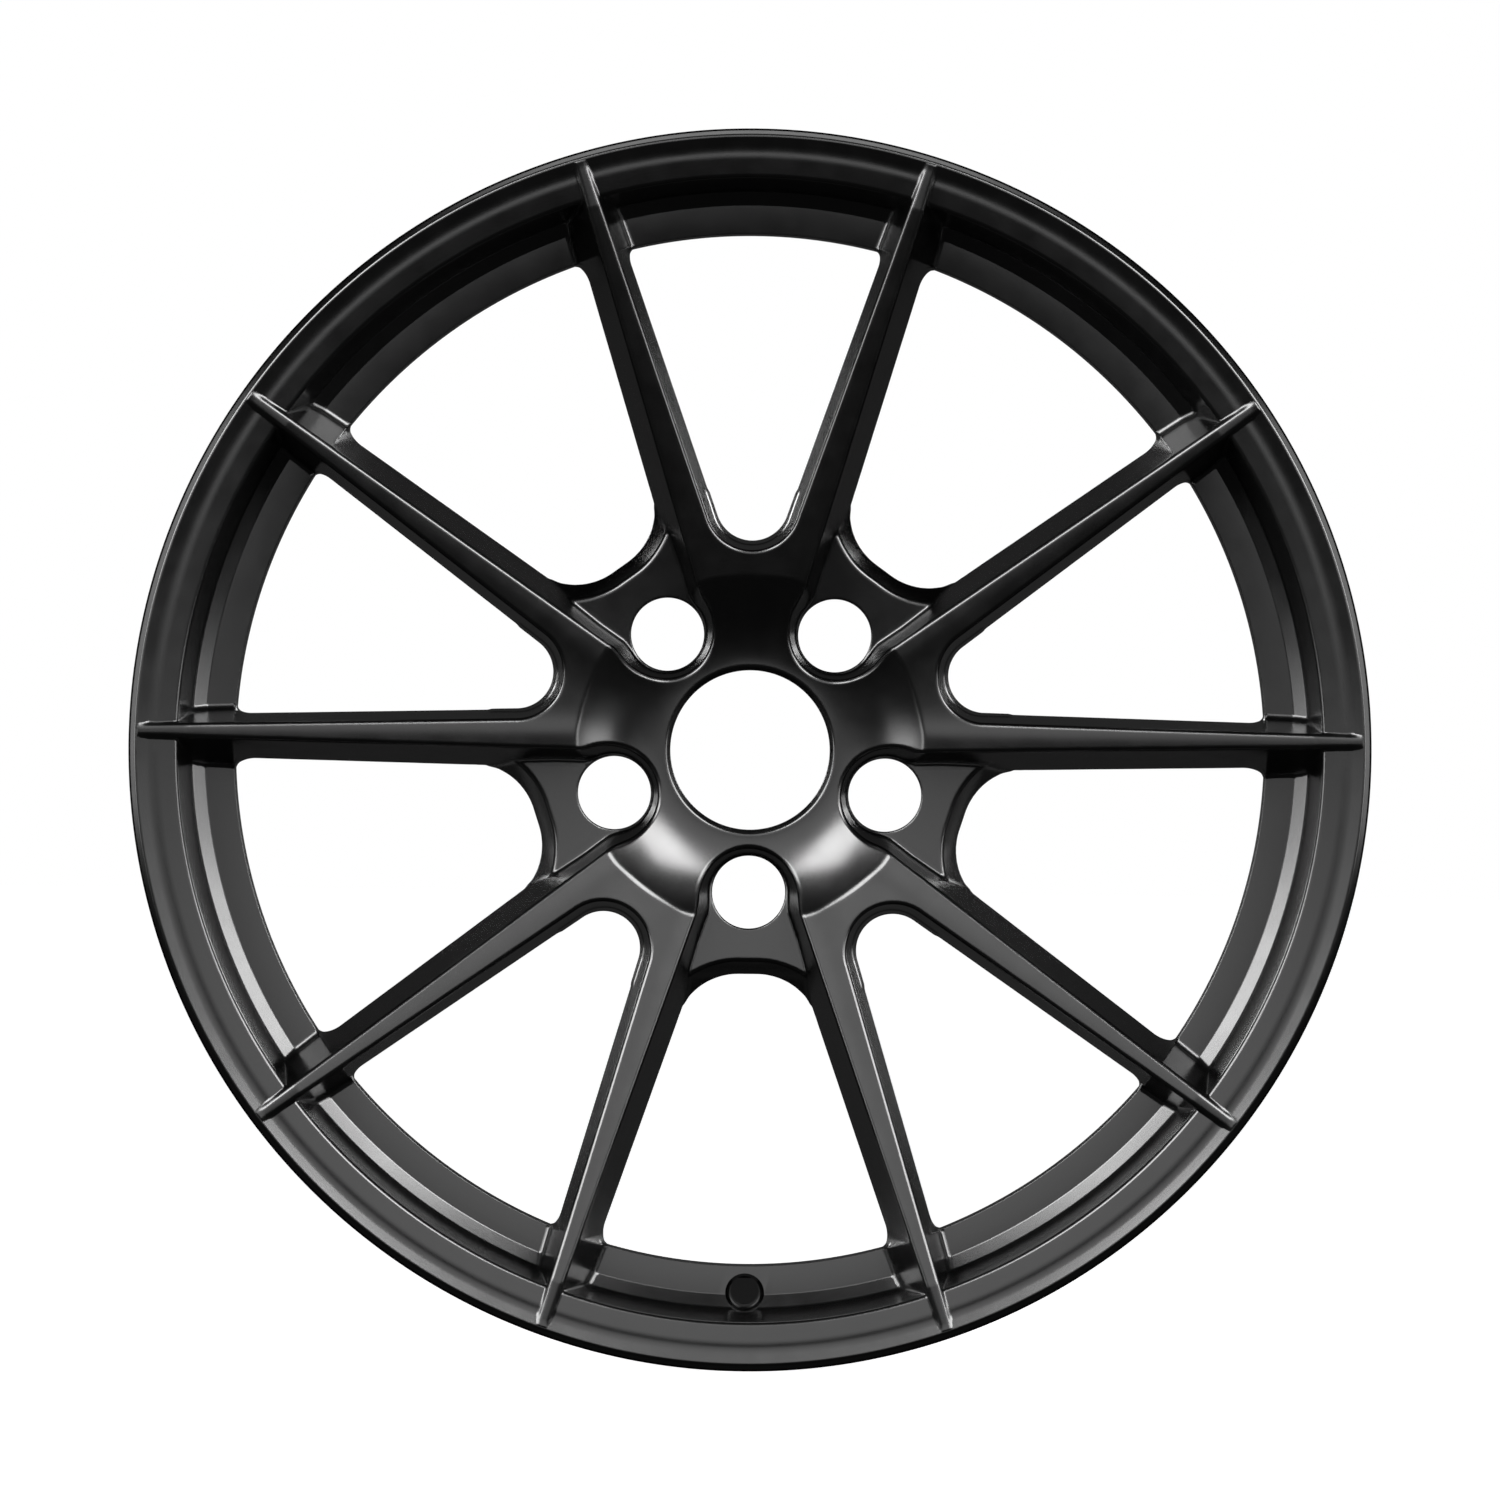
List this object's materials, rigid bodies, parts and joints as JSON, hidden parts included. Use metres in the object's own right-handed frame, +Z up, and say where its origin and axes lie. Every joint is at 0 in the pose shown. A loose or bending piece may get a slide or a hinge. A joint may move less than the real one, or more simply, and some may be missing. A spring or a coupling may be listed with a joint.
{
  "type": "forged racing wheel rim",
  "caption": "Bare one-piece forged racing wheel rim with slim straight spokes in V pairs, a dished hub, open lug pockets and a deep stepped lip, in satin black.",
  "frame": {"origin": "the wheel's centre, on its axis midway between the two flanges", "axes": "the rim turns about Y with its outboard face towards -Y; +Z runs up between the top pair of spokes and the valve hole is at -Z; +X is to the right as seen from outboard"},
  "size_m": [0.4964, 0.2414, 0.497],
  "materials": {
    "spoke_black": "satin black powder coat on the hub, yokes and spokes",
    "rim_black": "satin black powder coat on the rim",
    "contact_face": "thin black coat on the machined mounting face"
  },
  "bodies": {
    "root": {"outboard_flange": "rim_black", "outboard_bead_seat": "rim_black", "outboard_shoulder": "rim_black", "drop_centre": "rim_black", "barrel_ramp": "rim_black", "inboard_barrel": "rim_black", "inboard_bead_seat": "rim_black", "inboard_flange": "rim_black", "hub_centre": "spoke_black", "mounting_pad": "contact_face", "lug_web_1": "spoke_black", "lug_web_2": "spoke_black", "lug_web_3": "spoke_black", "lug_web_4": "spoke_black", "lug_web_5": "spoke_black", "spoke_yoke_1": "spoke_black", "spoke_yoke_2": "spoke_black", "spoke_yoke_3": "spoke_black", "spoke_yoke_4": "spoke_black", "spoke_yoke_5": "spoke_black", "spoke_01": "spoke_black", "spoke_02": "spoke_black", "spoke_03": "spoke_black", "spoke_04": "spoke_black", "spoke_05": "spoke_black", "spoke_06": "spoke_black", "spoke_07": "spoke_black", "spoke_08": "spoke_black", "spoke_09": "spoke_black", "spoke_10": "spoke_black"}
  },
  "joints": []
}
